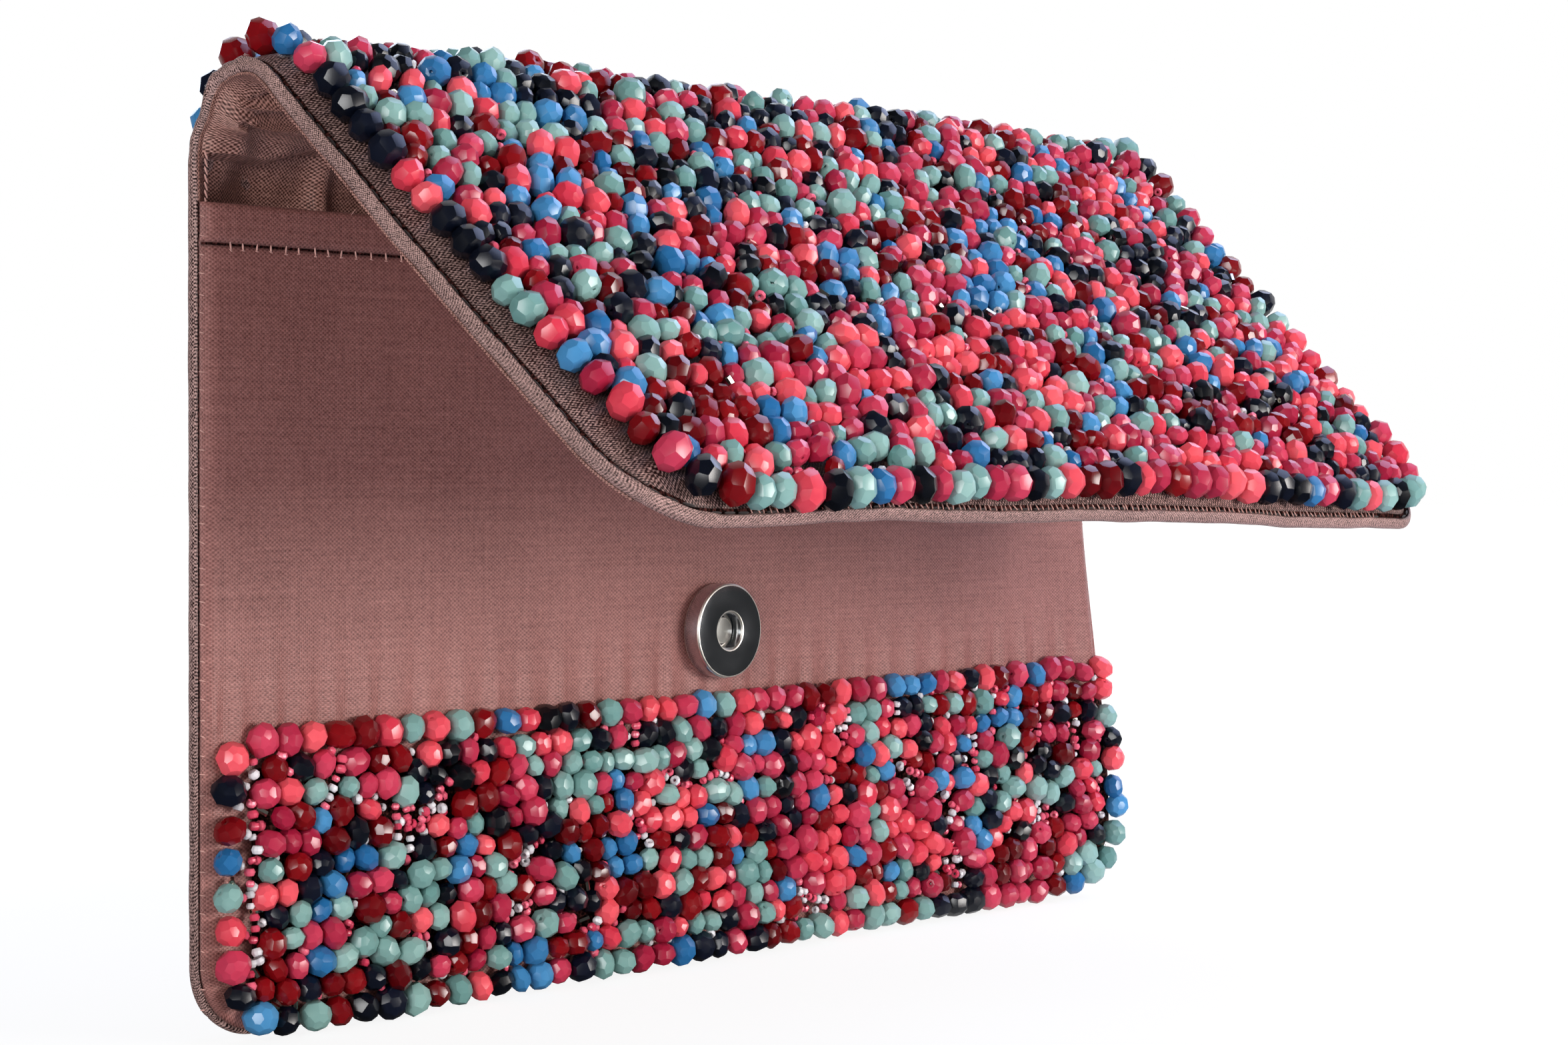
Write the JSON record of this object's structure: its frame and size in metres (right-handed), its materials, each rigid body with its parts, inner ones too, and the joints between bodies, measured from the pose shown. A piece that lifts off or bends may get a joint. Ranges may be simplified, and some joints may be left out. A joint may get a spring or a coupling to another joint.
{
  "type": "beaded clutch bag",
  "caption": "Flat fabric clutch bag with a bead-covered folding flap, a bead band along the lower front and a round magnetic snap.",
  "frame": {"origin": "middle of the flat bottom edge, at the middle of the sewn edges' depth", "axes": "+X along the bag's width, +Y from front to back, +Z from the bottom edge to the fold"},
  "size_m": [0.243, 0.1018, 0.1633],
  "materials": {
    "taffeta": "shot taffeta, dusty rose-brown, satin sheen",
    "lining": "shot taffeta lining",
    "buckram": "stiffened board, hidden inside",
    "wadding": "needled wadding, hidden inside",
    "beads": "faceted opaque beads in coral, raspberry, mint, navy, garnet and blue",
    "dark_thread": "dark brown topstitching thread",
    "pink_thread": "pale pink hand stitching",
    "nickel": "polished nickel plate",
    "plated_steel": "nickel-plated pressed steel",
    "ferrite": "sintered ferrite, hidden inside"
  },
  "bodies": {
    "body": {"front_cover": "taffeta", "front_padding": "wadding", "front_lining": "lining", "back_cover": "taffeta", "back_board": "buckram", "back_lining": "lining", "side_seam_thread": "dark_thread", "hem_thread": "pink_thread", "band_beads": "beads", "socket_case": "nickel", "socket_magnet": "ferrite", "socket_pole": "plated_steel", "socket_prongs": "plated_steel", "socket_washer": "plated_steel"},
    "fold_rear": {"fold_rear_cover": "taffeta", "fold_rear_lining": "lining", "fold_rear_beads": "beads"},
    "fold_front": {"fold_front_cover": "taffeta", "fold_front_lining": "lining", "fold_front_beads": "beads"},
    "flap": {"flap_cover": "taffeta", "flap_board": "buckram", "flap_wadding": "wadding", "flap_lining": "lining", "flap_field_beads": "beads", "flap_edge_beads": "beads", "flap_topstitch": "dark_thread", "stud_plate": "nickel", "stud_post": "nickel", "stud_prongs": "plated_steel", "stud_washer": "plated_steel"}
  },
  "joints": [
    {"name": "fold_rear_hinge", "type": "hinge", "parent": "body", "child": "fold_rear", "pos_m": [0, 0.0023, 0.15], "axis": [-1, 0, 0], "range_deg": [-16.2, 44.5]},
    {"name": "fold_front_hinge", "type": "hinge", "parent": "fold_rear", "child": "fold_front", "pos_m": [0, -0.00541, 0.15785], "axis": [-1, 0, 0], "range_deg": [-16.2, 44.5]},
    {"name": "flap_hinge", "type": "hinge", "parent": "fold_front", "child": "flap", "pos_m": [0, -0.01641, 0.15804], "axis": [-1, 0, 0], "range_deg": [-16.2, 44.5]}
  ],
  "couplings": [
    {"joint": "fold_rear_hinge", "follows": "flap_hinge", "ratio": 1},
    {"joint": "fold_front_hinge", "follows": "flap_hinge", "ratio": 1}
  ]
}
